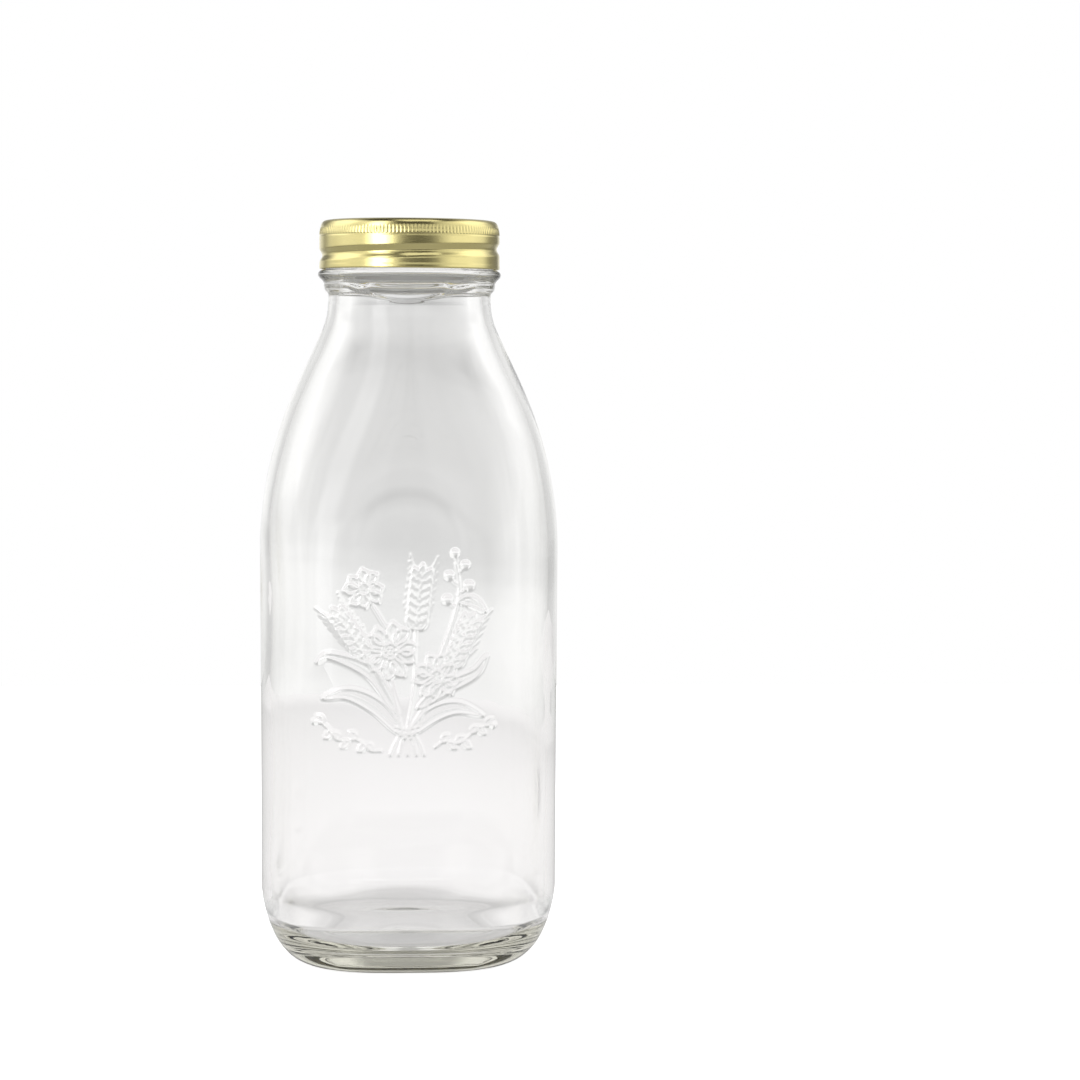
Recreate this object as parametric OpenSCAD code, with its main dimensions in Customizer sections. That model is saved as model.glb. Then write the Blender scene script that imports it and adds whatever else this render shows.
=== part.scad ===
// One-litre glass milk bottle with a rounded-square body, a round screw neck,
// a loose sealing liner and a rolled-thread tinplate cap.
// Z is up, the bottle stands on z = 0 and its decorated panel faces -Y.

/* [Glass body] */
// Width across the flats of the body
body_w = 90.3; // [88:0.1:95]
// Height from the table to the sealing lip
glass_h = 222.5; // [221:0.5:232]
// Wall thickness, measured square to the surface
wall = 2.9; // [2.4:0.1:3]
// How square the plan of the body is: 2 is a circle, 4 nearly square
squareness = 3; // [2.4:0.1:3.6]
// How far the flats draw in from the shoulder down to mid height
flat_sag = 0.1; // [0:0.05:1]
// Height of the rounded heel
heel_h = 22.5; // [20:0.5:26]
// Half-width of the foot
foot_r = 31; // [29:0.1:33]
// Height of the inner floor above the table
floor_z = 7.2; // [6:0.2:8]
// Rise of the push-up under the base
pushup = 2.4; // [1:0.1:3]

/* [Decorated panel] */
// Half-width of the arched panel
panel_r = 22.6; // [18:0.2:26]
// Top of the arch
panel_top = 147; // [138:1:152]
// Bottom of the panel
panel_bottom = 26; // [24:1:40]
// Depth of the panel
panel_depth = 0.3; // [0.2:0.05:0.6]

/* [Neck and finish] */
// Radius of the neck below the bead
neck_r = 24.65; // [24.6:0.05:25]
// Radius of the bore at the mouth
mouth_r = 22; // [21:0.1:22]
// Radius of the transfer bead under the cap
bead_r = 27.8; // [27.6:0.1:28.4]
// Root radius of the glass thread
root_r = 25.4; // [25.1:0.1:25.5]
// Crest radius of the glass thread
crest_r = 26.55; // [26.3:0.05:26.6]
// Axial distance from one turn of the thread to the next
pitch = 4.2; // [4:0.1:4.4]

/* [Cap] */
// Outer radius of the cap's skirt
cap_r = 27.3; // [27.25:0.05:27.4]
// Thickness of the tinplate
sheet = 0.3; // [0.24:0.02:0.32]
// Depth of the rolled thread groove
groove = 0.85; // [0.7:0.05:0.9]
// Half the width of the rolled groove
roll_w = 2.2; // [1.4:0.1:2.3]
// Number of knurls round the top edge
knurls = 150; // [90:2:160]

/* [Hidden] */
$fn = 96;

// points round a body section, and the angle between two of them
segs = 72;
step = 360 / segs;

half_w = body_w / 2;
waist = half_w - flat_sag;  // half-width of the lower body
lip_z = glass_h;            // the lip is the top of the glass
neck_z = lip_z - 21;        // the shoulder meets the straight neck here
turn_z = 125;               // the flats end and the shoulder starts
cap_z = lip_z + 1.5;        // top of the cap
skirt_z = lip_z - 13.2;     // bottom of the cap's skirt
rolled_z = lip_z - 8.1;     // height of the cap's groove at the front
mesh_z = 1.75;              // the glass thread lies this far above the groove

// ---- helpers ----
function smooth(t) = let (c = min(1, max(0, t))) c * c * (3 - 2 * c);
function bez(p, t) = let (u = 1 - t)
    u * u * u * p[0] + 3 * u * u * t * p[1] + 3 * u * t * t * p[2] + t * t * t * p[3];
function dbez(p, t) = let (u = 1 - t)
    3 * u * u * (p[1] - p[0]) + 6 * u * t * (p[2] - p[1]) + 3 * t * t * (p[3] - p[2]);
// rounded-square radius in direction a for a section of half-width h and exponent n
function squircle(a, h, n) = h / pow(pow(abs(cos(a)), n) + pow(abs(sin(a)), n), 1 / n);

// ---- profile: each entry is [half-width, height] ----
// the heel sweeps out of the foot; the shoulder is a long convex curve and a short hollow one
heel = [[foot_r, 0], [foot_r + 11.4, 0.3], [waist, heel_h - 3.5], [waist, heel_h]];
shoulder_a = [[half_w, turn_z], [half_w, turn_z + 30], [half_w - 10.75, neck_z - 27.5], [28.9, neck_z - 15.7]];
shoulder_b = [[28.9, neck_z - 15.7], [25.7, neck_z - 8.7], [neck_r, neck_z - 7.3], [neck_r, neck_z]];

function flat_at(z) = waist + flat_sag * pow(max(0, z - 75) / 50, 2);
// the same curves moved in by the wall w, square to the surface
function inset_at(p, t, w) = let (d = dbez(p, t), l = norm(d))
    bez(p, t) + w * [-d[1], d[0]] / l;
function inner_heel_at(t) = [waist - wall - 9 * (1 - sin(t)), floor_z + 9 * (1 - cos(t))];

outer_profile = concat(
    [for (i = [0 : 7]) bez(heel, i / 7)],
    [for (z = [40 : 20 : 100]) [flat_at(z), z]],
    [for (i = [0 : 9]) bez(shoulder_a, i / 9)],
    [for (i = [1 : 5]) bez(shoulder_b, i / 5)]);

inner_profile = concat(
    [for (t = [0 : 22.5 : 90]) inner_heel_at(t)],
    [for (z = [50 : 25 : 100]) [flat_at(z) - wall, z]],
    [for (i = [0 : 7]) inset_at(shoulder_a, i / 7, wall)],
    [for (i = [1 : 4]) inset_at(shoulder_b, i / 4, wall - 0.09 * i)]);

// the plan runs from rounded square in the body to round in the neck
function plan_n(z) = 2 + (squareness - 2) * (1 - smooth((z - 118) / 68));

// how far inside the arched outline of the panel a point lies
function panel_in(x, z) =
    z > panel_top - panel_r ? panel_r - norm([x, z - panel_top + panel_r])
    : min(panel_r - abs(x), (z - panel_bottom) * (1 - 0.4 * pow(min(1, abs(x) / panel_r), 2)));
function panel_dip(x, z) = panel_depth * smooth(panel_in(x, z) / 7);

// one ring of points; the front and back of the outside carry the panel
function ring(p, outside) = [for (i = [0 : segs - 1])
    let (a = i * step, r = squircle(a, p[0], plan_n(p[1])), x = r * cos(a), y = r * sin(a))
    [x, y - (outside && abs(y) > abs(x) ? sign(y) * panel_dip(x, p[1]) : 0), p[1]]];
function disc(r, z) = [for (i = [0 : segs - 1]) [r * cos(i * step), r * sin(i * step), z]];

// a closed skin through a list of rings, with a flat cap at each end
module skin(rings) {
    n = len(rings[0]);
    m = len(rings);
    polyhedron(
        points = [for (r = rings) for (p = r) p],
        faces = concat(
            [[for (i = [0 : n - 1]) i]],
            [[for (i = [n - 1 : -1 : 0]) (m - 1) * n + i]],
            [for (j = [0 : m - 2]) for (i = [0 : n - 1]) let (k = (i + 1) % n)
                each [[j * n + i, (j + 1) * n + i, (j + 1) * n + k],
                      [j * n + i, (j + 1) * n + k, j * n + k]]]),
        convexity = 6);
}

// a helical rib or groove: section(s) gives points [radius, height] at strength s,
// from angle a0 to a1, rising by the pitch each turn and fading out at both ends
module helix(sections, a0, a1, z0, fade) {
    n = round((a1 - a0) / 5);
    skin([for (j = [0 : n])
        let (a = a0 + (a1 - a0) * j / n,
             s = smooth(min(a - a0, a1 - a) / fade),
             p = sections[0] + s * (sections[1] - sections[0]))
        [for (q = p) [q[0] * cos(a - 90), q[0] * sin(a - 90), z0 + q[1] + pitch * a / 360]]]);
}

// ---- glass ----
// body, shoulder and base in one skin, from the push-up round the outside to the inner floor
module glass_body() {
    skin(concat(
        [disc(12, pushup), disc(24, 0.8), disc(26, 0)],
        [for (p = outer_profile) ring(p, true)],
        [for (i = [len(inner_profile) - 1 : -1 : 0]) ring(inner_profile[i], false)],
        [disc(20, floor_z + 0.5), disc(9, floor_z + 0.8)]));
}

// neck, bead, thread root and lip, with a true bore at the mouth
module glass_finish() {
    rotate_extrude()
        polygon([
            [mouth_r, neck_z - 2], [neck_r - 0.1, neck_z - 2], [neck_r - 0.1, neck_z + 0.8],
            [25.3, neck_z + 1.1], [25.85, neck_z + 1.9], [26, neck_z + 3.6],
            [26.4, neck_z + 4.4], [27.2, neck_z + 5], [bead_r - 0.2, neck_z + 5.6],
            [bead_r, neck_z + 6.3], [bead_r - 0.2, neck_z + 6.9], [27.2, neck_z + 7.3],
            [26.6, neck_z + 7.55], [25.8, neck_z + 7.6], [root_r, neck_z + 8],
            [root_r, lip_z - 1.4], [25.2, lip_z - 0.7], [24.8, lip_z - 0.2], [24.3, lip_z],
            [23, lip_z], [22.4, lip_z - 0.2], [mouth_r, lip_z - 0.9]]);
}

// the glass thread lies just above the cap's rolled groove and runs with it
module glass_thread() {
    flank = [[root_r - 0.5, -1.1], [root_r - 0.5, 1.1], [root_r - 0.1, 0.95], [root_r - 0.1, -0.95]];
    rib = [[root_r - 0.5, -1.1], [root_r - 0.5, 1.1], [crest_r, 0.35], [crest_r, -0.35]];
    helix([flank, rib], -250, 220, rolled_z + mesh_z, 24);
}

module bottle() {
    color([0.86, 0.9, 0.88, 0.4])
        union() {
            glass_body();
            glass_finish();
            glass_thread();
        }
}

// ---- liner ----
// loose white wad between the lip and the cap, raised at its rim to fill the cap's edge
module cap_liner() {
    color("white")
        rotate_extrude()
            polygon([
                [0, lip_z + 0.05], [25.6, lip_z + 0.05], [26.1, lip_z + 0.25], [26.1, lip_z + 0.45],
                [25.6, lip_z + 0.85], [24.7, lip_z + 1.1], [22.9, lip_z + 1.1], [21.9, lip_z + 0.7],
                [0, lip_z + 0.7]]);
}

// ---- cap ----
// how far the rolled thread is pressed in at angle a (0 faces the front) and height z, from 0 to 1
function roll_at(a, z) =
    let (s = smooth(min(a + 240, 200 - a) / 30), d = (z - rolled_z - pitch * a / 360) / roll_w)
    abs(d) < 1 ? s * pow(cos(90 * d), 2) : 0;
function rolled(a, z) =
    groove * smooth((z - skirt_z) / 1.5) * max([for (k = [-360 : 360 : 360]) roll_at(a + k, z)]);

// top of the cap: sunk panel, rounded edge and the narrow band that takes the knurls,
// with a tab that ends inside the threaded skirt
module shell_top() {
    rotate_extrude()
        polygon([
            [0, cap_z - 0.35], [21.8, cap_z - 0.35], [22.5, cap_z], [cap_r - 2.5, cap_z],
            [cap_r - 1.5, cap_z - 0.22], [cap_r - 0.95, cap_z - 0.62], [cap_r - 0.62, cap_z - 1.15],
            [cap_r - 0.42, cap_z - 1.7], [cap_r - 0.24, cap_z - 2.6], [cap_r - 0.16, cap_z - 3.3],
            [cap_r - 0.16, cap_z - 4.5], [cap_r - 0.1, cap_z - 4.6],
            [cap_r - 0.1, cap_z - 5.4], [cap_r - 0.24, cap_z - 5.4], [cap_r - 0.24, cap_z - 4.6],
            [cap_r - 0.4, cap_z - 4.5], [cap_r - 0.48, cap_z - 3.2], [cap_r - 0.72, cap_z - 1.9],
            [cap_r - 0.95, cap_z - 1.2], [cap_r - 1.15, cap_z - 0.85], [cap_r - 1.6, cap_z - 0.5],
            [cap_r - 2.35, cap_z - 0.3],
            [22.6, cap_z - 0.3], [21.9, cap_z - 0.65], [0, cap_z - 0.65]]);
}

// fine upright knurls pressed into the band below the top edge
module knurl_band() {
    translate([0, 0, cap_z - 4.4])
        linear_extrude(1.9)
            difference() {
                polygon([for (i = [0 : 2 * knurls - 1])
                    let (a = 180 * i / knurls, r = cap_r + (i % 2 == 0 ? 0.03 : -0.12))
                    [r * cos(a), r * sin(a)]]);
                circle(r = cap_r - 0.34);
            }
}

// threaded skirt and hem: one sheet, pressed in along the helix, so that the groove
// outside is the ridge inside
module shell_skirt() {
    top = cap_z - 4.7;
    low = skirt_z + 2;
    wall_rows = [for (i = [0 : 13]) low + (top - low) * i / 13];
    rows = concat(
        [[cap_r - 0.12, skirt_z], [cap_r + 0.03, skirt_z + 0.25], [cap_r + 0.05, skirt_z + 0.9],
         [cap_r + 0.03, skirt_z + 1.5]],
        [for (z = wall_rows) [cap_r, z]],
        [for (i = [13 : -1 : 0]) [cap_r - sheet, wall_rows[i]]],
        [[cap_r - sheet, skirt_z + 1.6], [cap_r - 0.48, skirt_z + 1.3],
         [cap_r - 0.48, skirt_z + 0.3], [cap_r - 0.4, skirt_z]]);
    m = len(rows);
    polyhedron(
        points = [for (p = rows) for (i = [0 : segs - 1])
            let (a = i * step, f = (a + 270) % 360 - 180, r = p[0] - rolled(f, p[1]))
            [r * cos(a), r * sin(a), p[1]]],
        faces = [for (j = [0 : m - 1]) for (i = [0 : segs - 1])
            let (k = (i + 1) % segs, u = j * segs, v = (j + 1) % m * segs)
            each [[u + i, v + i, v + k], [u + i, v + k, u + k]]],
        convexity = 8);
}

module cap_shell() {
    color([0.83, 0.74, 0.47])
        union() {
            shell_top();
            knurl_band();
            shell_skirt();
        }
}

bottle();
cap_liner();
cap_shell();
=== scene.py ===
"""Looks of the glass milk bottle: glass with its moulded relief, tinplate cap, liner, stage, light and camera.

The meshes follow the same formulas as the CAD model, at a finer pitch. Lengths in the formulas are in millimetres
and are turned into metres when a mesh is made.
"""

import math

import bpy
import numpy as np
from mathutils import Matrix, Vector


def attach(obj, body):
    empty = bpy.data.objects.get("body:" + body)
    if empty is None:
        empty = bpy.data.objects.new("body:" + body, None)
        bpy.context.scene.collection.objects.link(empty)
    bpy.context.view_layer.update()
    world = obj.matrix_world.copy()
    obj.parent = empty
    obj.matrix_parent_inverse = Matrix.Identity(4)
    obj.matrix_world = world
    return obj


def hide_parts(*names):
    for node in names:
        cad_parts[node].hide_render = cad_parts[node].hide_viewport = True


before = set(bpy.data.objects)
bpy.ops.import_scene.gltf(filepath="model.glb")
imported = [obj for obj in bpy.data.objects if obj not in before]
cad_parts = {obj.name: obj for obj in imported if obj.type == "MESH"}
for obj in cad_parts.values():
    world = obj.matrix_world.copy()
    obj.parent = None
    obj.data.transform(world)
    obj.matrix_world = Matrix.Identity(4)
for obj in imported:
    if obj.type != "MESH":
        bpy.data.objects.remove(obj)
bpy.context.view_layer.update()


# ------------------------------------------------------------------ sizes, as in the CAD model
HALF_W, LIP, WALL = 45.15, 222.5, 2.9
SAG, HEEL_H, FOOT_R, FLOOR, PUSH = 0.1, 22.5, 31.0, 7.2, 2.4
PANEL_R, PANEL_TOP, PANEL_BOTTOM, PANEL_DEPTH = 22.6, 147.0, 26.0, 0.3
NECK_R, MOUTH_R, BEAD_R, ROOT_R, CREST_R, PITCH = 24.65, 22.0, 27.8, 25.4, 26.55, 4.2
CAP_R, SHEET, GROOVE, ROLL_W, KNURLS = 27.3, 0.3, 0.85, 2.2, 150
NECK_Z, TURN_Z, CAP_Z, WAIST = LIP - 21, 125.0, LIP + 1.5, HALF_W - SAG
SKIRT_Z, ROLL_Z, MESH_Z = LIP - 13.2, LIP - 8.1, 1.75


def smooth(t):
    t = np.clip(t, 0, 1)
    return t * t * (3 - 2 * t)


def bezier(p, n=400):
    p = np.array(p, float)
    t = np.linspace(0, 1, n)[:, None]
    u = 1 - t
    c = u**3 * p[0] + 3 * u * u * t * p[1] + 3 * u * t * t * p[2] + t**3 * p[3]
    d = 3 * u * u * (p[1] - p[0]) + 6 * u * t * (p[2] - p[1]) + 3 * t * t * (p[3] - p[2])
    return c, d / np.linalg.norm(d, axis=1)[:, None]


HEEL = [(FOOT_R, 0), (FOOT_R + 11.4, 0.3), (WAIST, HEEL_H - 3.5), (WAIST, HEEL_H)]
SHOULDER_A = [(HALF_W, TURN_Z), (HALF_W, TURN_Z + 30), (HALF_W - 10.75, NECK_Z - 27.5), (28.9, NECK_Z - 15.7)]
SHOULDER_B = [(28.9, NECK_Z - 15.7), (25.7, NECK_Z - 8.7), (NECK_R, NECK_Z - 7.3), (NECK_R, NECK_Z)]


def flat_at(z):
    return WAIST + SAG * (np.maximum(z - 75, 0) / 50) ** 2


def plan_n(z):
    return 2 + 1.0 * (1 - smooth((z - 118) / 68))


def squircle(a, h, n):
    return h / (np.abs(np.cos(a)) ** n + np.abs(np.sin(a)) ** n) ** (1 / n)


def dense(points, step):
    """A polyline through the points with rounded corners taken out by resampling at about step."""
    p = np.array(points, float)
    s = np.r_[0, np.cumsum(np.linalg.norm(np.diff(p, axis=0), axis=1))]
    n = max(2, int(round(s[-1] / step)) + 1)
    t = np.linspace(0, s[-1], n)
    return np.c_[np.interp(t, s, p[:, 0]), np.interp(t, s, p[:, 1])]


def soften(p, passes, keep_ends=True):
    """Rounds the corners of an evenly sampled polyline."""
    p = p.copy()
    for _ in range(passes):
        q = p.copy()
        q[1:-1] = 0.25 * p[:-2] + 0.5 * p[1:-1] + 0.25 * p[2:]
        p = q
    return p


# ------------------------------------------------------------------ mesh making
def grid_object(name, rows, close_rows=False, caps=(False, False)):
    """A mesh from rows of points (rows, columns, xyz) in mm, closed round each row. caps adds a pole at either end."""
    rows = np.asarray(rows, float)
    m, n = rows.shape[:2]
    verts = rows.reshape(-1, 3)
    j, i = np.meshgrid(np.arange(m if close_rows else m - 1), np.arange(n), indexing="ij")
    k, l = (i + 1) % n, (j + 1) % m
    quads = np.stack([j * n + i, j * n + k, l * n + k, l * n + i], -1).reshape(-1, 4)
    faces = quads.tolist()
    extra = []
    if caps[0]:
        extra.append(rows[0].mean(0))
        c = len(verts)
        faces += [[c, (q + 1) % n, q] for q in range(n)]
    if caps[1]:
        extra.append(rows[-1].mean(0))
        c = len(verts) + len(extra) - 1
        base = (m - 1) * n
        faces += [[c, base + q, base + (q + 1) % n] for q in range(n)]
    if extra:
        verts = np.vstack([verts, extra])
    mesh = bpy.data.meshes.new(name)
    mesh.from_pydata((verts * 0.001).tolist(), [], faces)
    mesh.polygons.foreach_set("use_smooth", np.ones(len(mesh.polygons), bool))
    mesh.update()
    ob = bpy.data.objects.new(name, mesh)
    bpy.context.scene.collection.objects.link(ob)
    return ob


# ------------------------------------------------------------------ the moulded motif
# A bunch of wild flowers and wheat, drawn as soft raised lines on the front panel. x is to the right, z up, in mm.
def curve(*points, n=24):
    """A smooth polyline through a few points (Catmull-Rom)."""
    p = np.array(points, float)
    p = np.vstack([2 * p[0] - p[1], p, 2 * p[-1] - p[-2]])
    out = []
    spans = len(p) - 3
    for s in range(spans):
        t = np.linspace(0, 1, max(3, n // spans) + 1)[:, None]
        if s < spans - 1:
            t = t[:-1]
        a, b, c, d = p[s : s + 4]
        out.append(0.5 * (2 * b + (c - a) * t + (2 * a - 5 * b + 4 * c - d) * t**2 + (3 * b - a - 3 * c + d) * t**3))
    return np.vstack(out)


def along(px, pz, line):
    """Distance from each point to the line and how far along it, from 0 to 1."""
    s = np.r_[0, np.cumsum(np.linalg.norm(np.diff(line, axis=0), axis=1))]
    best = np.full(px.shape, 1e9)
    where = np.zeros(px.shape)
    for q in range(len(line) - 1):
        a, b = line[q], line[q + 1]
        d = b - a
        l2 = float(d @ d)
        if l2 < 1e-12:
            continue
        t = np.clip(((px - a[0]) * d[0] + (pz - a[1]) * d[1]) / l2, 0, 1)
        r = np.hypot(px - a[0] - t * d[0], pz - a[1] - t * d[1])
        hit = r < best
        best[hit] = r[hit]
        where[hit] = (s[q] + t[hit] * math.sqrt(l2)) / s[-1]
    return best, where


class Relief:
    def __init__(self, x, z):
        self.x, self.z, self.h = x, z, np.zeros(x.shape)

    def near(self, line, reach):
        lo, hi = line.min(0) - reach, line.max(0) + reach
        return (self.x > lo[0]) & (self.x < hi[0]) & (self.z > lo[1]) & (self.z < hi[1])

    def add(self, mask, h):
        self.h[mask] = np.maximum(self.h[mask], h)

    def stroke(self, line, width=0.55, height=0.5, taper=0.0):
        m = self.near(line, 3 * width)
        d, t = along(self.x[m], self.z[m], line)
        w = width * (1 - taper * t)
        self.add(m, height * (1 - 0.35 * taper * t) * np.exp(-((d / w) ** 2)))

    def leaf(self, line, half, outline=0.5, dome=0.2, vein=0.3, sigma=0.42, fat=0.8):
        """A leaf, petal or grain round a midrib: raised edge, crowned blade and vein."""
        m = self.near(line, half + 2)
        d, t = along(self.x[m], self.z[m], line)
        w = half * np.sin(np.pi * np.clip(t, 0, 1) ** fat) ** 0.75 + 0.05
        edge = outline * np.exp(-(((d - w) / sigma) ** 2))
        blade = dome * np.clip(1 - (d / (w + 1e-6)) ** 2, 0, 1) ** 0.6
        rib = vein * np.exp(-((d / (0.8 * sigma)) ** 2)) * (d < w + 0.4) * (1 - 0.5 * t)
        self.add(m, np.maximum(np.maximum(edge, blade), rib))

    def dot(self, x, z, r, height=0.45):
        d = np.hypot(self.x - x, self.z - z)
        m = d < 1.6 * r
        self.add(m, height * np.sqrt(np.clip(1 - (d[m] / (1.25 * r)) ** 2, 0, 1)))

    def flower(self, x, z, inner, outer, petals, turn, half):
        for q in range(petals):
            a = math.radians(turn + 360 * q / petals)
            bend = math.radians(8 if q % 2 else -6)
            r = outer * (1.0 if q % 3 else 0.93)
            line = curve(
                (x + inner * math.cos(a), z + inner * math.sin(a)),
                (x + 0.6 * r * math.cos(a + bend), z + 0.6 * r * math.sin(a + bend)),
                (x + r * math.cos(a), z + r * math.sin(a)),
                n=10,
            )
            self.leaf(line, half, outline=0.55, dome=0.22, vein=0.16, fat=1.15)
        ring = curve(*[(x + 0.92 * inner * math.cos(u), z + 0.92 * inner * math.sin(u)) for u in np.linspace(0, 2 * math.pi, 15)], n=28)
        self.stroke(ring, 0.42, 0.55)
        for u in range(7):
            rr = 0.0 if u == 6 else 0.5 * inner
            self.dot(x + rr * math.cos(u * math.pi / 3), z + rr * math.sin(u * math.pi / 3), 0.22 * inner, 0.5)

    def wheat(self, stem, grains, length=4.3, half=1.05):
        """An ear of wheat at the end of a stem, with grains in pairs and thin awns."""
        self.stroke(stem, 0.42, 0.45)
        s = np.r_[0, np.cumsum(np.linalg.norm(np.diff(stem, axis=0), axis=1))]
        for q in range(grains):
            at = s[-1] - 2.35 * (grains - 1 - q)
            p = np.array([np.interp(at, s, stem[:, 0]), np.interp(at, s, stem[:, 1])])
            b = np.array([np.interp(at - 1, s, stem[:, 0]), np.interp(at - 1, s, stem[:, 1])])
            d = (p - b) / np.linalg.norm(p - b)
            side = np.array([d[1], -d[0]])
            for sign in (-1, 1):
                out = d * math.cos(math.radians(31)) + sign * side * math.sin(math.radians(31))
                a0 = p + sign * side * 0.35
                a1 = a0 + out * length
                self.leaf(curve(a0, (a0 + a1) / 2 + sign * side * 0.35, a1, n=8), half, outline=0.5, dome=0.36, vein=0.0, sigma=0.36)
                tip = a1 + (d * 0.93 + sign * side * 0.36) * 4.4
                self.stroke(np.array([a1, (a1 + tip) / 2 + sign * side * 0.15, tip]), 0.26, 0.28, taper=0.5)
        p = stem[-1]
        d = (stem[-1] - stem[-2]) / np.linalg.norm(stem[-1] - stem[-2])
        self.leaf(np.array([p, p + d * length * 0.55, p + d * length * 1.1]), half, outline=0.5, dome=0.36, vein=0.0, sigma=0.36)


def motif(x, z):
    """Height of the motif over the panel at the points x, z."""
    r = Relief(x, z)
    # three ears of wheat fanned out from the tie
    r.wheat(curve((-1.5, 73), (-5, 84), (-12.5, 97), (-19.5, 107), n=30), 6)
    r.wheat(curve((-1.0, 73), (1.5, 88), (2.0, 104), (3.5, 119), n=30), 7)
    r.wheat(curve((0.5, 73), (5.5, 83), (12.0, 94), (17.0, 105), n=30), 6)
    # long blades
    r.leaf(curve((-2, 74), (-9, 82), (-17.5, 86), (-25, 84.5), n=24), 2.0, vein=0.35)
    r.leaf(curve((0, 74), (7, 80), (14, 82), (21.5, 79.5), n=24), 1.9, vein=0.35)
    r.leaf(curve((-3, 80), (-11, 92), (-22.5, 97), (-26.5, 95), n=24), 1.5, vein=0.3)
    r.leaf(curve((2.5, 82), (11, 88), (19, 92), (22.5, 97), n=24), 1.5, vein=0.3)
    # flowers
    r.flower(-5.5, 98.5, 2.3, 8.2, 10, 12, 1.75)
    r.flower(8.0, 91.0, 1.9, 6.6, 9, 30, 1.55)
    r.flower(-13.0, 116.5, 1.7, 5.6, 8, 5, 1.4)
    r.stroke(curve((-6.5, 105), (-9.5, 110), (-12.2, 114.5), n=12), 0.4, 0.4)
    r.stroke(curve((-2, 76), (-4, 84), (-5.5, 91), n=12), 0.4, 0.4)
    r.stroke(curve((0, 76), (3.5, 81), (6.3, 86), n=12), 0.4, 0.4)
    # a sprig of berries at the upper right
    r.stroke(curve((9, 97), (12.5, 107), (14.5, 116), (13.5, 124), n=20), 0.4, 0.42)
    for bx, bz, br in ((11.0, 113.5, 1.25), (17.3, 117.5, 1.3), (11.6, 120.5, 1.2), (16.2, 123.5, 1.15), (13.2, 127.0, 1.1)):
        r.stroke(np.array([(13.9, bz - 2.6), ((13.9 + bx) / 2, bz - 1.6), (bx, bz)]), 0.3, 0.3)
        r.dot(bx, bz, br, 0.55)
    r.leaf(curve((14.3, 113), (18, 113), (22, 110), n=10), 1.3)
    # the tie and the cut stalks
    for q in (0.0, 1.15):
        r.stroke(curve((-4.0, 75.2 + q), (-0.6, 74.5 + q), (3.0, 75.3 + q), n=10), 0.45, 0.5)
    for sx in (-5.4, -3.0, -0.4, 2.2, 4.4):
        r.stroke(np.array([(sx * 0.45 - 0.3, 74), (sx * 0.8, 71), (sx, 68.2)]), 0.4, 0.42)
    # a garland of small leaves under the bunch, broken by the stalks
    for side, ends in ((-1, (-27.5, -8.0)), (1, (7.5, 24.5))):
        xs = np.linspace(ends[0], ends[1], 9)
        zs = 69.4 + 1.1 * np.sin((xs - ends[0]) * 0.62) + 0.012 * (xs + 1.5) ** 2
        r.stroke(np.c_[xs, zs], 0.36, 0.4)
        for q in range(1, 8):
            up = 1 if q % 2 else -1
            a = np.array([xs[q], zs[q]])
            b = a + np.array([side * 1.9, up * 2.1])
            r.leaf(np.array([a, (a + b) / 2 + np.array([0, up * 0.35]), b]), 0.8, outline=0.42, dome=0.2, vein=0.0, sigma=0.34)
        r.dot(ends[0] if side < 0 else ends[1], zs[0] if side < 0 else zs[-1], 0.8, 0.5)
    return r.h


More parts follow.
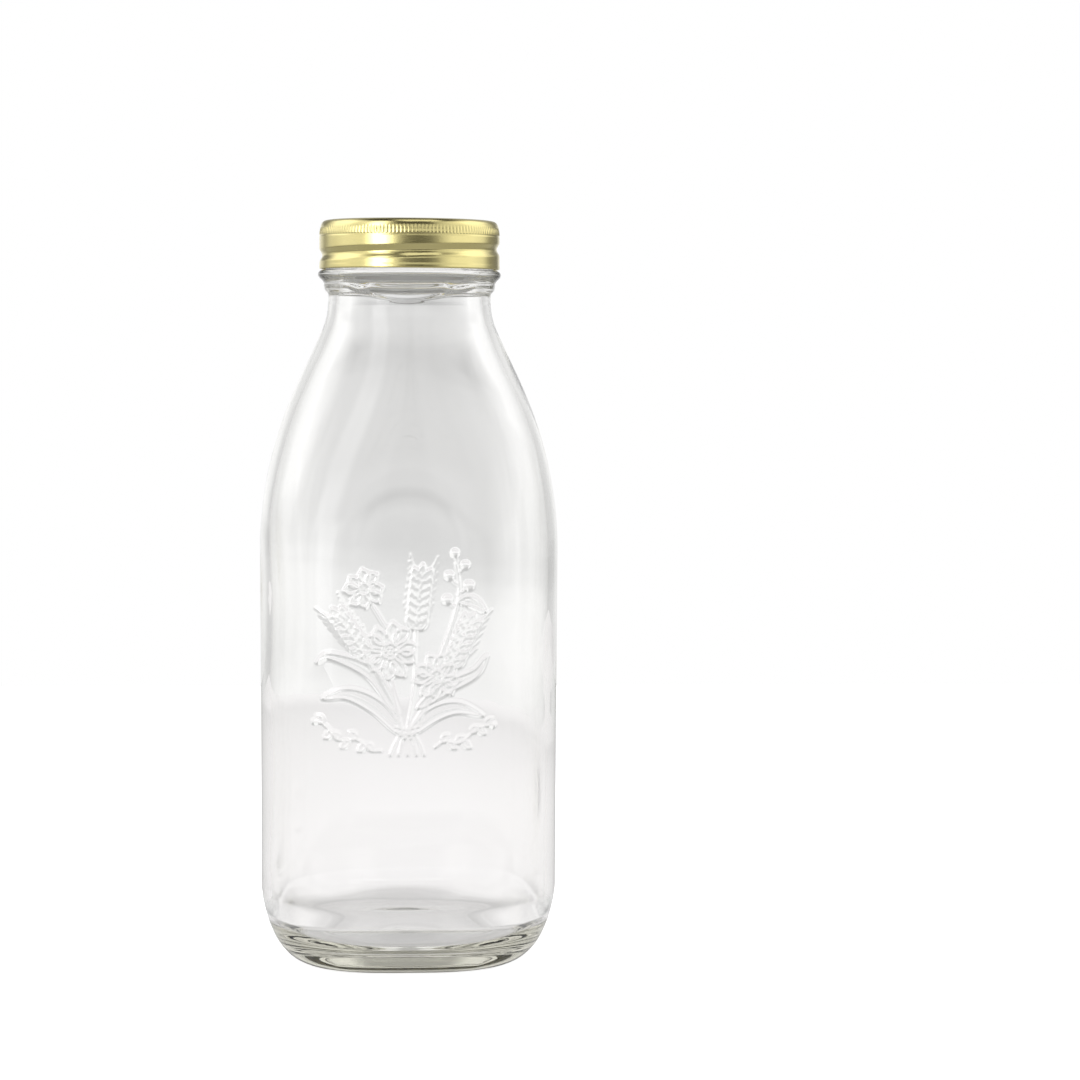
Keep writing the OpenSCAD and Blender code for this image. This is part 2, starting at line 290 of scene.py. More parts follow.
# ------------------------------------------------------------------ glass
def glass():
    fine = np.radians(np.arange(-126, -54, 0.45))  # across the front
    rest = np.radians(np.linspace(-54, 234, 205)[:-1])
    ang = np.r_[fine, rest]

    # outer body: heel, flats and shoulder as half-width over height
    heel = bezier(HEEL, 40)[0]
    za = np.r_[np.arange(23.2, 45, 0.8), np.arange(45, 62, 1.7), np.arange(62, 125, 0.4)]
    flats = np.c_[flat_at(za), za]
    ca, da = bezier(SHOULDER_A)
    cb, db = bezier(SHOULDER_B)
    full, slope = np.vstack([ca, cb[1:]]), np.vstack([da, db[1:]])
    zs = np.r_[np.arange(125, 133, 0.4), np.arange(133, 150, 0.7), np.arange(150, NECK_Z - 0.3, 1.3)]
    shoulder = np.c_[np.interp(zs, full[:, 1], full[:, 0]), zs]
    body = np.vstack([heel, flats, shoulder])

    rows = []
    for r in (3.0, 8.0, 13.0, 17.0, 20.0, 22.3, 23.4):  # push-up
        rows.append((np.full(ang.shape, r), 0.8 + (PUSH - 0.8) * (1 - (r / 24) ** 2)))
    for r, z in ((23.9, 0.74), (24.5, 0.42), (25.2, 0.14), (26.0, 0.0), (28.2, 0.0)):
        rows.append((np.full(ang.shape, r), z))
    for h, z in body:
        rows.append((squircle(ang, h, plan_n(z)), z))

    # neck, bead, thread root and lip
    finish = soften(dense([
        (NECK_R, NECK_Z), (NECK_R, NECK_Z + 0.5), (25.25, NECK_Z + 0.95), (25.85, NECK_Z + 1.7), (26.0, NECK_Z + 3.6),
        (26.4, NECK_Z + 4.4), (27.2, NECK_Z + 5.0), (BEAD_R - 0.15, NECK_Z + 5.6), (BEAD_R + 0.05, NECK_Z + 6.3),
        (BEAD_R - 0.15, NECK_Z + 6.9), (27.2, NECK_Z + 7.3), (26.6, NECK_Z + 7.55), (25.8, NECK_Z + 7.6), (ROOT_R, NECK_Z + 8.0),
        (ROOT_R, LIP - 1.4), (25.2, LIP - 0.7), (24.8, LIP - 0.2), (24.3, LIP), (23.0, LIP), (22.4, LIP - 0.2),
        (22.0, LIP - 0.9), (22.0, LIP - 3.0)], 0.22), 6)
    for r, z in finish:
        radius = np.full(ang.shape, r)
        if NECK_Z + 8 < z < LIP - 1 and r > 24.5:
            bump = np.zeros(ang.shape)
            face = np.mod(np.degrees(ang) + 90 + 180, 360) - 180  # 0 faces the front
            for turn in (-360, 0, 360):
                a = face + turn
                s = smooth(np.minimum(a + 250, 220 - a) / 24)
                d = np.abs(z - (ROLL_Z + MESH_Z + PITCH * a / 360))
                bump = np.maximum(bump, s * smooth((0.95 - d) / 0.6))
            radius = radius + (CREST_R - ROOT_R) * bump
        rows.append((radius, z))

    # inside: bore, shoulder and body offset by the wall, then the rounded inner heel and the floor
    wall = WALL - 0.36 * smooth((np.arange(len(full)) - len(ca)) / len(cb))  # thinner in the neck
    inner = full + wall[:, None] * np.c_[-slope[:, 1], slope[:, 0]]
    inner = inner[np.argsort(inner[:, 1])]
    face = np.mod(np.degrees(ang) + 90 + 180, 360) - 180
    # where the bore was pressed the glass ends in a soft uneven ridge, lowest at the front and the back
    lobe = np.cos(np.radians(np.clip(face, -62, 62) * 90 / 62)) ** 2 + 0.5 * np.cos(np.radians(np.clip(np.abs(face) - 180, -70, 0) * 90 / 70)) ** 2
    edge_z = NECK_Z + 3.4 - 4.6 * lobe + 0.25 * np.sin(4 * np.radians(face) + 0.6)

    def ridge(z):
        return 0.26 * np.exp(-(((z - edge_z) / 0.75) ** 2)) + 0.10 * np.exp(-(((z - edge_z - 2.6) / 1.0) ** 2))

    for z in np.r_[np.arange(LIP - 4.2, LIP - 10.5, -1.6), np.arange(LIP - 10.8, NECK_Z - 2.4, -0.4)]:
        rows.append((MOUTH_R - ridge(z), z))
    top = inner[-1, 1]
    for z in np.r_[np.arange(NECK_Z - 2.8, NECK_Z - 9, -0.4), np.arange(NECK_Z - 9.4, 128, -1.5), np.arange(128, 18, -2.4)]:
        if z > top:
            h = MOUTH_R
        elif z > TURN_Z:
            h = np.interp(z, inner[:, 1], inner[:, 0])
        else:
            h = flat_at(z) - WALL
        h = max(h, MOUTH_R + 0.0)
        # the inside follows the blow, so the wall swells and thins a little down the body
        ripple = 0.16 * np.sin(z * 0.115 + 1.2 * np.cos(ang)) + 0.10 * np.sin(2 * ang + z * 0.05)
        fade = smooth((NECK_Z - 8 - z) / 20) * smooth((z - 18) / 14)
        rows.append((squircle(ang, h, plan_n(z) - 0.02) + ripple * fade - ridge(z), z))
    t = np.radians(np.linspace(90, 0, 26))
    for h, z in np.c_[WAIST - WALL - 9 * (1 - np.sin(t)), FLOOR + 9 * (1 - np.cos(t))]:
        rows.append((squircle(ang, h, 3.0 - 0.25 * smooth((16 - z) / 8)), z))
    for r, z in ((26.6, FLOOR + 0.12), (24.5, FLOOR + 0.3), (20, FLOOR + 0.5), (14, FLOOR + 0.7), (8, FLOOR + 0.8), (3, FLOOR + 0.82)):
        rows.append((np.full(ang.shape, r), z))

    pts = np.zeros((len(rows), len(ang), 3))
    for q, (r, z) in enumerate(rows):
        pts[q, :, 0], pts[q, :, 1], pts[q, :, 2] = r * np.cos(ang), r * np.sin(ang), z

    # panel and motif on the outside of the body
    last = 12 + len(body)
    out = pts[12:last]
    x, y, z = out[..., 0].copy(), out[..., 1].copy(), out[..., 2].copy()
    arch = np.where(
        z > PANEL_TOP - PANEL_R,
        PANEL_R - np.hypot(x, z - PANEL_TOP + PANEL_R),
        np.minimum(PANEL_R - np.abs(x), (z - PANEL_BOTTOM) * (1 - 0.4 * np.minimum(1, np.abs(x) / PANEL_R) ** 2)),
    )
    dip = PANEL_DEPTH * smooth(arch / 7)
    faces_y = np.abs(y) > np.abs(x)
    out[..., 1] = y - np.where(faces_y, np.sign(y) * dip, 0)
    front = (y < 0) & faces_y & (z > 60) & (z < 135) & (np.abs(x) < 31)
    h = np.zeros(x.shape)
    h[front] = motif(x[front], z[front])
    # two small moulded dots low on the left, as such bottles carry
    for dz in (56.7, 45.2):
        d = np.hypot(x + 32.5, z - dz)
        h = np.where((y < 0) & faces_y, np.maximum(h, 0.3 * np.exp(-((d / 0.6) ** 2))), h)
    nx, ny = np.sign(x) * np.abs(x) ** 2, np.sign(y) * np.abs(y) ** 2
    ln = np.hypot(nx, ny)
    out[..., 0] += h * nx / ln
    out[..., 1] += h * ny / ln
    return grid_object("bottle_glass", pts, caps=(True, True))


# ------------------------------------------------------------------ cap
def cap():
    per = 6
    n = KNURLS * per
    ang = np.radians(np.arange(n) * 360 / n)
    face = np.mod(np.degrees(ang) + 90 + 180, 360) - 180
    knurl = np.abs(np.sin(ang * KNURLS / 2)) ** 0.8  # 0 in a valley, 1 on a crest

    def rolled(z):
        best = np.zeros(n)
        for turn in (-360, 0, 360):
            a = face + turn
            s = smooth(np.minimum(a + 240, 200 - a) / 30)
            d = np.abs(z - ROLL_Z - PITCH * a / 360) / ROLL_W
            best = np.maximum(best, s * np.where(d < 1, np.cos(np.pi / 2 * np.minimum(d, 1)) ** 2, 0))
        return GROOVE * smooth((z - SKIRT_Z) / 1.5) * best

    top = soften(dense([(3, CAP_Z - 0.35), (21.0, CAP_Z - 0.35), (21.8, CAP_Z - 0.3), (22.5, CAP_Z - 0.02), (23.0, CAP_Z),
                        (CAP_R - 2.6, CAP_Z), (CAP_R - 1.5, CAP_Z - 0.22), (CAP_R - 0.95, CAP_Z - 0.62), (CAP_R - 0.62, CAP_Z - 1.15),
                        (CAP_R - 0.42, CAP_Z - 1.7), (CAP_R - 0.22, CAP_Z - 2.6)], 0.2), 2)
    band = [(np.interp(CAP_Z - z, [2.6, 3.4, 3.9], [CAP_R - 0.22, CAP_R - 0.06, CAP_R]), z) for z in np.arange(CAP_Z - 2.75, CAP_Z - 5.0, -0.12)]
    skirt = [(CAP_R, z) for z in np.arange(CAP_Z - 5.1, SKIRT_Z + 1.6, -0.26)]
    hem = soften(dense([(CAP_R, SKIRT_Z + 1.6), (CAP_R + 0.05, SKIRT_Z + 1.0), (CAP_R + 0.05, SKIRT_Z + 0.3), (CAP_R - 0.1, SKIRT_Z),
                        (CAP_R - 0.35, SKIRT_Z), (CAP_R - 0.48, SKIRT_Z + 0.3), (CAP_R - 0.48, SKIRT_Z + 1.2), (CAP_R - SHEET, SKIRT_Z + 1.6)], 0.14), 1)
    inside = [(CAP_R - SHEET, z) for z in np.arange(SKIRT_Z + 1.8, CAP_Z - 4.7, 0.4)]
    under = soften(dense([(CAP_R - 0.35, CAP_Z - 4.5), (CAP_R - 0.48, CAP_Z - 3.2), (CAP_R - 0.72, CAP_Z - 1.9), (CAP_R - 0.95, CAP_Z - 1.2),
                          (CAP_R - 1.15, CAP_Z - 0.85), (CAP_R - 1.6, CAP_Z - 0.5), (CAP_R - 2.35, CAP_Z - 0.3), (22.6, CAP_Z - 0.3), (21.9, CAP_Z - 0.65),
                          (3, CAP_Z - 0.65)], 0.3), 1)
    rows = []
    for r, z in list(top) + band:
        # the knurls run down the rounded edge to a fine step above the skirt
        w = smooth((CAP_Z - 1.9 - z) / 0.9) * smooth((z - (CAP_Z - 4.6)) / 0.5)
        neck = 0.08 * smooth((CAP_Z - 4.3 - z) / 0.25) * smooth((z - (CAP_Z - 5.0)) / 0.25)
        rows.append((r - w * 0.13 * (1 - knurl) - neck, z))
    for r, z in skirt + list(hem) + inside:
        rows.append((r - rolled(z), z))
    for r, z in under:
        rows.append((np.full(n, float(r)), z))
    pts = np.zeros((len(rows), n, 3))
    for q, (r, z) in enumerate(rows):
        pts[q, :, 0], pts[q, :, 1], pts[q, :, 2] = r * np.cos(ang), r * np.sin(ang), z
    ob = grid_object("cap_tinplate", pts[::-1], caps=(True, True))
    # the inside, from the hem's inner edge up over the underside of the panel, takes the second material
    first_inside = len(top) + len(band) + len(skirt) + len(hem)
    for face in ob.data.polygons:
        row = len(rows) - 1 - min(face.vertices) // n if max(face.vertices) < len(rows) * n else None
        if row is None:
            row = len(rows) if face.center.z < (CAP_Z - 0.5) * 0.001 else 0
        face.material_index = 1 if row >= first_inside else 0
    return ob


def liner():
    ang = np.radians(np.arange(0, 360, 3))
    low = LIP + 0.05
    p = soften(dense([(2, low), (21.6, low), (22.4, low), (24.3, low), (25.6, low), (26.08, low + 0.2), (26.08, low + 0.4),
                      (25.6, low + 0.78), (24.7, low + 1.03), (23.0, low + 1.03), (21.9, low + 0.62), (2, low + 0.62)], 0.3), 1)
    pts = np.zeros((len(p), len(ang), 3))
    pts[..., 0] = p[:, :1] * np.cos(ang)
    pts[..., 1] = p[:, :1] * np.sin(ang)
    pts[..., 2] = p[:, 1:]
    return grid_object("liner_wad", pts, caps=(True, True))


# ------------------------------------------------------------------ materials
def material(name):
    m = bpy.data.materials.new(name)
    m.use_nodes = True
    m.node_tree.nodes.clear()
    return m, m.node_tree.nodes, m.node_tree.links


def glass_material():
    m, nodes, links = material("clear_soda_lime_glass")
    out = nodes.new("ShaderNodeOutputMaterial")
    b = nodes.new("ShaderNodeBsdfPrincipled")
    b.inputs["Base Color"].default_value = (1, 1, 1, 1)
    b.inputs["Roughness"].default_value = 0.0
    b.inputs["IOR"].default_value = 1.52
    b.inputs["Transmission Weight"].default_value = 1.0
    # faint waviness of a pressed and blown surface
    coord = nodes.new("ShaderNodeTexCoord")
    noise = nodes.new("ShaderNodeTexNoise")
    noise.inputs["Scale"].default_value = 55
    noise.inputs["Detail"].default_value = 2.0
    bump = nodes.new("ShaderNodeBump")
    bump.inputs["Strength"].default_value = 0.10
    bump.inputs["Distance"].default_value = 0.0006
    links.new(coord.outputs["Object"], noise.inputs["Vector"])
    links.new(noise.outputs["Fac"], bump.inputs["Height"])
    links.new(bump.outputs["Normal"], b.inputs["Normal"])
    links.new(b.outputs["BSDF"], out.inputs["Surface"])
    absorb = nodes.new("ShaderNodeVolumeAbsorption")
    absorb.inputs["Color"].default_value = (0.745, 0.735, 0.645, 1)
    absorb.inputs["Density"].default_value = 20.0
    links.new(absorb.outputs["Volume"], out.inputs["Volume"])
    return m


def gold_material():
    m, nodes, links = material("pale_gold_lacquer")
    out = nodes.new("ShaderNodeOutputMaterial")
    b = nodes.new("ShaderNodeBsdfPrincipled")
    b.inputs["Metallic"].default_value = 1.0
    b.inputs["Specular IOR Level"].default_value = 0.5
    b.inputs["Coat Weight"].default_value = 0.25
    b.inputs["Coat Roughness"].default_value = 0.12
    coord = nodes.new("ShaderNodeTexCoord")
    blotch = nodes.new("ShaderNodeTexNoise")
    blotch.inputs["Scale"].default_value = 60
    blotch.inputs["Detail"].default_value = 3
    tone = nodes.new("ShaderNodeValToRGB")
    tone.color_ramp.elements[0].position = 0.3
    tone.color_ramp.elements[0].color = (0.80, 0.70, 0.30, 1)
    tone.color_ramp.elements[1].position = 0.7
    tone.color_ramp.elements[1].color = (0.85, 0.755, 0.35, 1)
    rough = nodes.new("ShaderNodeMapRange")
    rough.inputs["To Min"].default_value = 0.16
    rough.inputs["To Max"].default_value = 0.23
    fine = nodes.new("ShaderNodeTexNoise")
    fine.inputs["Scale"].default_value = 900
    fine.inputs["Detail"].default_value = 2
    stretch = nodes.new("ShaderNodeMapping")
    stretch.inputs["Scale"].default_value = (1, 1, 6)
    bump = nodes.new("ShaderNodeBump")
    bump.inputs["Strength"].default_value = 0.12
    bump.inputs["Distance"].default_value = 0.0001
    links.new(coord.outputs["Object"], blotch.inputs["Vector"])
    links.new(coord.outputs["Object"], stretch.inputs["Vector"])
    links.new(stretch.outputs["Vector"], fine.inputs["Vector"])
    links.new(blotch.outputs["Fac"], tone.inputs["Fac"])
    links.new(tone.outputs["Color"], b.inputs["Base Color"])
    links.new(blotch.outputs["Fac"], rough.inputs["Value"])
    links.new(rough.outputs["Result"], b.inputs["Roughness"])
    links.new(fine.outputs["Fac"], bump.inputs["Height"])
    links.new(bump.outputs["Normal"], b.inputs["Normal"])
    links.new(b.outputs["BSDF"], out.inputs["Surface"])
    return m


def lacquer_material():
    m, nodes, links = material("white_inner_lacquer")
    out = nodes.new("ShaderNodeOutputMaterial")
    b = nodes.new("ShaderNodeBsdfPrincipled")
    b.inputs["Roughness"].default_value = 0.3
    coord = nodes.new("ShaderNodeTexCoord")
    noise = nodes.new("ShaderNodeTexNoise")
    noise.inputs["Scale"].default_value = 260
    noise.inputs["Detail"].default_value = 2
    tone = nodes.new("ShaderNodeValToRGB")
    tone.color_ramp.elements[0].color = (0.74, 0.74, 0.73, 1)
    tone.color_ramp.elements[1].color = (0.80, 0.80, 0.79, 1)
    links.new(coord.outputs["Object"], noise.inputs["Vector"])
    links.new(noise.outputs["Fac"], tone.inputs["Fac"])
    links.new(tone.outputs["Color"], b.inputs["Base Color"])
    # stands in for the light that the glass finish focuses into the cap
    b.inputs["Emission Color"].default_value = (1, 1, 0.98, 1)
    b.inputs["Emission Strength"].default_value = 0.2
    links.new(b.outputs["BSDF"], out.inputs["Surface"])
    return m


def liner_material():
    m, nodes, links = material("white_foam_wad")
    out = nodes.new("ShaderNodeOutputMaterial")
    b = nodes.new("ShaderNodeBsdfPrincipled")
    b.inputs["Roughness"].default_value = 0.55
    coord = nodes.new("ShaderNodeTexCoord")
    noise = nodes.new("ShaderNodeTexNoise")
    noise.inputs["Scale"].default_value = 700
    noise.inputs["Detail"].default_value = 3
    tone = nodes.new("ShaderNodeValToRGB")
    tone.color_ramp.elements[0].color = (0.82, 0.82, 0.80, 1)
    tone.color_ramp.elements[1].color = (0.90, 0.90, 0.88, 1)
    bump = nodes.new("ShaderNodeBump")
    bump.inputs["Strength"].default_value = 0.25
    bump.inputs["Distance"].default_value = 0.0002
    links.new(coord.outputs["Object"], noise.inputs["Vector"])
    links.new(noise.outputs["Fac"], tone.inputs["Fac"])
    links.new(tone.outputs["Color"], b.inputs["Base Color"])
    links.new(noise.outputs["Fac"], bump.inputs["Height"])
    links.new(bump.outputs["Normal"], b.inputs["Normal"])
    links.new(b.outputs["BSDF"], out.inputs["Surface"])
    return m


# ------------------------------------------------------------------ the object
bottle = glass()
bottle.data.materials.append(glass_material())
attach(bottle, "bottle")
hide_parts("bottle")

lid = cap()
lid.data.materials.append(gold_material())
lid.data.materials.append(lacquer_material())
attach(lid, "cap")
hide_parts("cap_shell")

wad = liner()
wad.data.materials.append(liner_material())
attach(wad, "liner")
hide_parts("cap_liner")


# ------------------------------------------------------------------ stage and light
def stage_plane(name, corners_m, mat):
    mesh = bpy.data.meshes.new(name)
    mesh.from_pydata(corners_m, [], [(0, 1, 2, 3)])
    mesh.update()
    ob = bpy.data.objects.new(name, mesh)
    bpy.context.scene.collection.objects.link(ob)
    mesh.materials.append(mat)
    return ob


# the floor is a white table, evenly lit: its glow for the camera keeps the ground under the bottle as white as the
# rest. Seen through the glass, the floor is a glow with painted shade: it falls off a little towards the far edge, and
# a painted shadow darkens it under the foot
m, nodes, links = material("pale_floor")


def math_in(kind, *values):
    n = nodes.new("ShaderNodeMath")
    n.operation = kind
    for q, v in enumerate(values):
        if isinstance(v, (int, float)):
            n.inputs[q].default_value = v
        else:
            links.new(v, n.inputs[q])
    return n.outputs["Value"]


def ranged(value, lo, hi, to_lo, to_hi):
    n = nodes.new("ShaderNodeMapRange")
    for key, v in (("From Min", lo), ("From Max", hi), ("To Min", to_lo), ("To Max", to_hi)):
        n.inputs[key].default_value = v
    links.new(value, n.inputs["Value"])
    return n.outputs["Result"]


out = nodes.new("ShaderNodeOutputMaterial")
b = nodes.new("ShaderNodeBsdfDiffuse")
b.inputs["Color"].default_value = (0.93, 0.93, 0.93, 1)
path = nodes.new("ShaderNodeLightPath")
where = nodes.new("ShaderNodeNewGeometry")
span = nodes.new("ShaderNodeVectorMath")
span.operation = "LENGTH"
links.new(where.outputs["Position"], span.inputs[0])
away_m = span.outputs["Value"]
# painted shadow: the darkened ellipse under the bottle is shifted a little towards the front, as if the light came
# from behind
shift = nodes.new("ShaderNodeVectorMath")
shift.operation = "ADD"
shift.inputs[1].default_value = (0.0, 0.017, 0.0)
links.new(where.outputs["Position"], shift.inputs[0])
painted_shadow_reach = nodes.new("ShaderNodeVectorMath")
painted_shadow_reach.operation = "LENGTH"
squeeze = nodes.new("ShaderNodeVectorMath")
squeeze.operation = "MULTIPLY"
squeeze.inputs[1].default_value = (0.76, 0.885, 1.0)
links.new(shift.outputs["Vector"], squeeze.inputs[0])
links.new(squeeze.outputs["Vector"], painted_shadow_reach.inputs[0])
lift = nodes.new("ShaderNodeEmission")
links.new(math_in("MULTIPLY", path.outputs["Is Camera Ray"], 0.75), lift.inputs["Strength"])
both = nodes.new("ShaderNodeAddShader")
links.new(b.outputs["BSDF"], both.inputs[0])
links.new(lift.outputs["Emission"], both.inputs[1])
glow = nodes.new("ShaderNodeEmission")
glow.inputs["Color"].default_value = (1.0, 0.985, 0.993, 1)
# painted shade in the glow's strength: 0.64 inside the painted shadow ellipse under the bottle, and a falloff to 0.85
# towards the far edge
shade = math_in("MULTIPLY", ranged(painted_shadow_reach.outputs["Value"], 0.052, 0.063, 0.64, 1.0),
                math_in("ADD", ranged(away_m, 0.20, 0.47, 1.01, 0.85), ranged(away_m, 0.48, 0.54, 0.0, 0.15)))
links.new(shade, glow.inputs["Strength"])
lit = nodes.new("ShaderNodeMixShader")
links.new(math_in("MULTIPLY", path.outputs["Is Transmission Ray"], 0.85), lit.inputs["Fac"])
links.new(both.outputs["Shader"], lit.inputs[1])
links.new(glow.outputs["Emission"], lit.inputs[2])
# painted dark reflection: for glossy rays the floor beyond 6 cm from the bottle is swapped for a grey glow of 0.3, so
# down-facing slopes of the cap and glass show painted shade
painted_dark_floor = nodes.new("ShaderNodeEmission")
painted_dark_floor.inputs["Strength"].default_value = 0.30
mirrored = nodes.new("ShaderNodeMixShader")
only_glossy = math_in("SUBTRACT", path.outputs["Is Glossy Ray"], path.outputs["Is Transmission Ray"])
links.new(math_in("MULTIPLY", only_glossy, ranged(away_m, 0.06, 0.10, 0.0, 0.8)), mirrored.inputs["Fac"])
links.new(lit.outputs["Shader"], mirrored.inputs[1])
links.new(painted_dark_floor.outputs["Emission"], mirrored.inputs[2])
links.new(mirrored.outputs["Shader"], out.inputs["Surface"])
FLOOR_HALF = 0.54
LOW = -0.00015  # a hair under the foot, so that the two faces don't share a plane
floor = stage_plane("floor", [(-FLOOR_HALF, -FLOOR_HALF, LOW), (FLOOR_HALF, -FLOOR_HALF, LOW), (FLOOR_HALF, FLOOR_HALF, LOW), (-FLOOR_HALF, FLOOR_HALF, LOW)], m)

# The studio is drawn in the world: a white cyclorama with a softly graded grey sweep behind the object, a large
# window to the left, a paler wall to the right and the darker room in front.
world = bpy.data.worlds.new("studio")
bpy.context.scene.world = world
world.use_nodes = True
nodes, links = world.node_tree.nodes, world.node_tree.links
nodes.clear()


def math_node(kind, *values):
    n = nodes.new("ShaderNodeMath")
    n.operation = kind
    for q, v in enumerate(values):
        if isinstance(v, (int, float)):
            n.inputs[q].default_value = v
        else:
            links.new(v, n.inputs[q])
    return n.outputs["Value"]


def ramp_node(fac, stops):
    """Grey levels over 0 to 1. Levels above 1 are scaled afterwards."""
    n = nodes.new("ShaderNodeValToRGB")
    r = n.color_ramp
    r.interpolation = "EASE"
    while len(r.elements) < len(stops):
        r.elements.new(0.5)
    for e, (pos, level) in zip(r.elements, stops):
        e.position = pos
        e.color = (level, level, level, 1)
    links.new(fac, n.inputs["Fac"])
    return n.outputs["Color"]


def remap(value, lo, hi, to_lo=0.0, to_hi=1.0):
    n = nodes.new("ShaderNodeMapRange")
    n.clamp = True
    n.inputs["From Min"].default_value = lo
    n.inputs["From Max"].default_value = hi
    n.inputs["To Min"].default_value = to_lo
    n.inputs["To Max"].default_value = to_hi
    links.new(value, n.inputs["Value"])
    return n.outputs["Result"]


def background(color, strength=1.0):
    n = nodes.new("ShaderNodeBackground")
    if isinstance(color, float):
        n.inputs["Color"].default_value = (color, color, color, 1)
    else:
        links.new(color, n.inputs["Color"])
    n.inputs["Strength"].default_value = strength
    return n.outputs["Background"]


def mixed(fac, a, c):
    n = nodes.new("ShaderNodeMixShader")
    links.new(fac, n.inputs["Fac"])
    links.new(a, n.inputs[1])
    links.new(c, n.inputs[2])
    return n.outputs["Shader"]


coord = nodes.new("ShaderNodeTexCoord")
split = nodes.new("ShaderNodeSeparateXYZ")
links.new(coord.outputs["Generated"], split.inputs["Vector"])
dx, dy, dz = (split.outputs[k] for k in "XYZ")
bearing = math_node("ARCTAN2", dx, math_node("MULTIPLY", dy, -1.0))  # 0 is towards -Y, positive towards +X

# seen through the glass: grey straight behind each face, white on both sides of it and at the foot
four = math_node("COSINE", math_node("MULTIPLY", bearing, 4.0))
behind = remap(four, 0.80, 0.95)
height = remap(dz, -0.16, 0.16)
middle = ramp_node(height, [(0.0, 0.97), (0.06, 0.90), (0.11, 0.815), (0.17, 0.74), (0.23, 0.69), (0.34, 0.68), (0.44, 0.65), (0.50, 0.60), (0.56, 0.52), (1.0, 0.50)])
flank = ramp_node(height, [(0.0, 0.97), (0.06, 0.95), (0.12, 0.93), (0.17, 0.88), (0.24, 0.85), (0.34, 0.87), (0.43, 0.98), (1.0, 0.98)])
# further round, where only strongly bent rays go, it is darker
far = nodes.new("ShaderNodeMix")
far.data_type = "RGBA"
far.blend_type = "MULTIPLY"
far.inputs["Factor"].default_value = 1.0
links.new(flank, far.inputs[6])
links.new(remap(four, -0.95, -0.2, 0.72, 1.0), far.inputs[7])
sweep = nodes.new("ShaderNodeMix")
sweep.data_type = "RGBA"
links.new(behind, sweep.inputs["Factor"])
links.new([o for o in far.outputs if o.type == "RGBA"][0], sweep.inputs[6])
links.new(middle, sweep.inputs[7])
through = background([o for o in sweep.outputs if o.type == "RGBA"][0], 1.07)

# reflected: round the horizon from behind, by the left, to the front, by the right, to behind again
around = math_node("MULTIPLY_ADD", bearing, 1 / (2 * math.pi), 0.5)


def at(deg):
    return (deg + 180) / 360


ring = ramp_node(around, [
    (0.0, 0.24), (at(-168), 0.25), (at(-150), 0.18), (at(-137), 0.09), (at(-118), 0.19), (at(-85), 0.24), (at(-60), 0.23),
    (at(-51), 0.46), (at(-44), 1.0), (at(-33), 1.0), (at(-26), 0.48), (at(-17), 0.17), (at(-7), 0.048), (at(3), 0.024),
    (at(14), 0.018), (at(24), 0.026), (at(34), 0.070), (at(44), 0.18), (at(56), 0.26), (at(84), 0.27), (at(104), 0.23),
    (at(124), 0.07), (at(148), 0.05), (at(165), 0.22), (1.0, 0.24)])
side = background(ring, 4.2)


def ring_light(scale, *stops):
    """A band of the studio from levels at bearings in degrees, the same at both ends."""
    ends = [(0.0, stops[0][1] / scale)] + [(at(b), v / scale) for b, v in stops[1:-1]] + [(1.0, stops[-1][1] / scale)]
    return background(ramp_node(around, ends), scale)


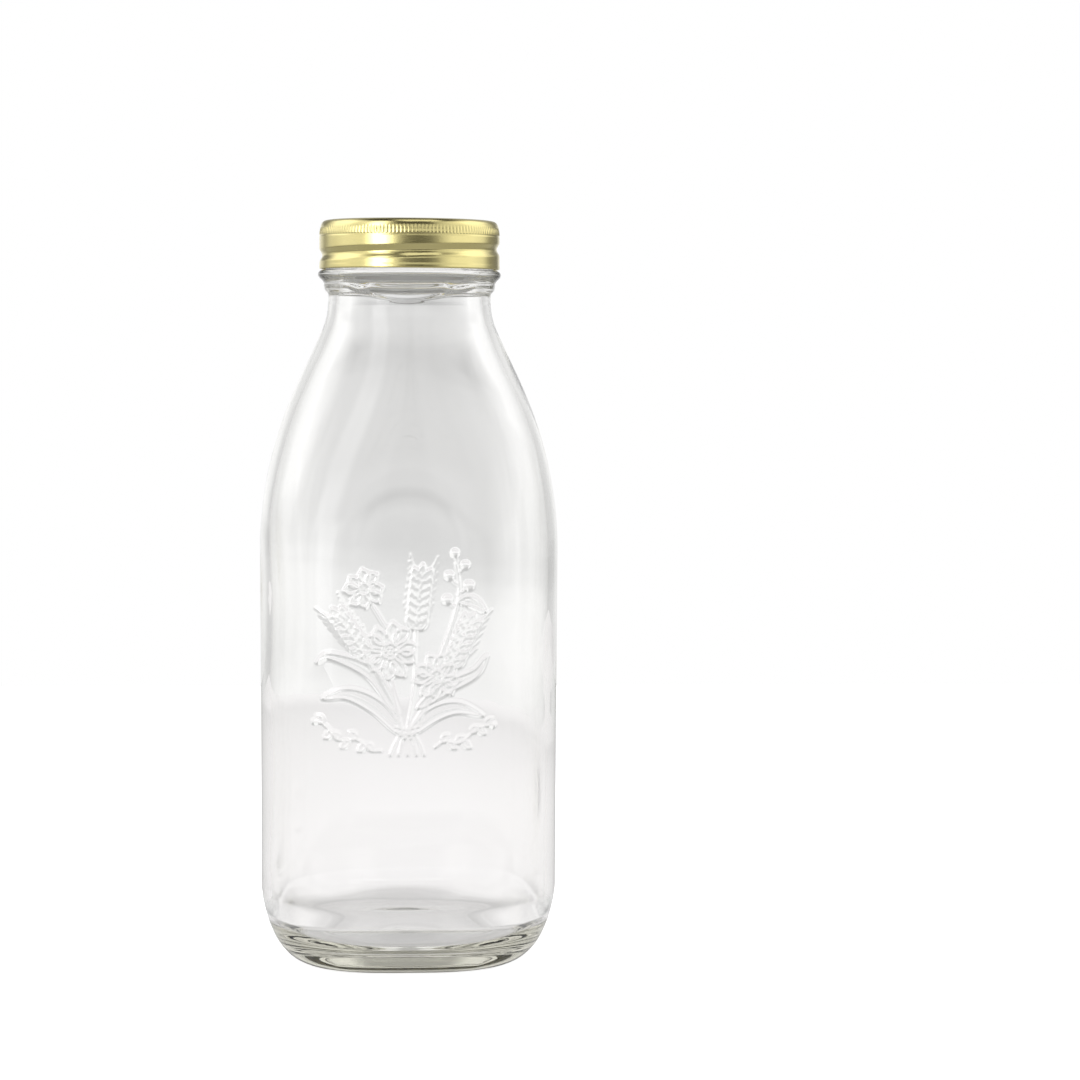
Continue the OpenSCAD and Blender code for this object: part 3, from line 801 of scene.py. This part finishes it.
low_band = ring_light(
    3.6, (-180, 0.45), (-144, 0.22), (-130, 0.70), (-116, 1.35), (-96, 1.40), (-80, 0.90), (-58, 0.85), (-49, 3.5), (-39, 3.3),
    (-28, 0.85), (0, 0.80), (40, 0.75), (72, 0.90), (94, 1.30), (114, 1.25), (130, 0.65), (146, 0.25), (180, 0.45))
high_band = ring_light(
    3.0, (-180, 0.50), (-146, 0.45), (-124, 1.45), (-92, 1.60), (-78, 1.00), (-62, 0.95), (-52, 2.5), (-38, 2.5), (-28, 0.42),
    (-17, 0.08), (20, 0.05), (31, 0.10), (43, 0.65), (74, 1.05), (90, 1.55), (122, 1.40), (146, 0.45), (180, 0.50))
below = background(0.30)
glossy = mixed(remap(dz, -0.30, -0.04), below, side)
glossy = mixed(remap(dz, 0.09, 0.19), glossy, low_band)
glossy = mixed(remap(dz, 0.36, 0.48), glossy, high_band)
glossy = mixed(remap(dz, 0.70, 0.86), glossy, background(0.06))

path = nodes.new("ShaderNodeLightPath")
result = mixed(path.outputs["Is Transmission Ray"], glossy, through)
result = mixed(path.outputs["Is Diffuse Ray"], result, background(1.0))
result = mixed(path.outputs["Is Camera Ray"], result, background(1.0))
out = nodes.new("ShaderNodeOutputWorld")
links.new(result, out.inputs["Surface"])
world.cycles.sampling_method = "NONE"


def softbox(name, place, target, size, power, colour=(1, 1, 1)):
    light = bpy.data.lights.new(name, "AREA")
    light.shape = "RECTANGLE"
    light.size, light.size_y = size
    light.energy = power
    light.color = colour
    ob = bpy.data.objects.new(name, light)
    bpy.context.scene.collection.objects.link(ob)
    ob.location = place
    ob.rotation_euler = (Vector(target) - Vector(place)).to_track_quat("-Z", "Y").to_euler()
    ob.visible_camera = False
    return ob


softbox("top_box", (0.1, -0.25, 0.9), (0, 0, 0), (0.5, 0.4), 0.6)

# ------------------------------------------------------------------ camera
cam = bpy.data.cameras.new("camera")
cam.sensor_width = 36
cam.lens = 36 * 2434.6 / 1080
cam.clip_start, cam.clip_end = 0.01, 20
camera = bpy.data.objects.new("camera", cam)
bpy.context.scene.collection.objects.link(camera)
turn = math.radians(0.0)
away = 0.745
place = Vector((away * math.sin(turn), -away * math.cos(turn), 0.1943))
aim = (
    Matrix.Rotation(turn - math.radians(3.086), 4, "Z")
    @ Matrix.Rotation(math.radians(90 - 5.163), 4, "X")
    @ Matrix.Rotation(math.radians(0.35), 4, "Z")
)
camera.matrix_world = Matrix.Translation(place) @ aim
bpy.context.scene.camera = camera

bpy.context.scene.view_settings.view_transform = "Standard"
bpy.context.scene.view_settings.look = "None"
# light is handed on many times inside thick glass, at the heel and the base
light_paths = bpy.context.scene.cycles
light_paths.max_bounces = 32
light_paths.glossy_bounces = 24
light_paths.transmission_bounces = 32
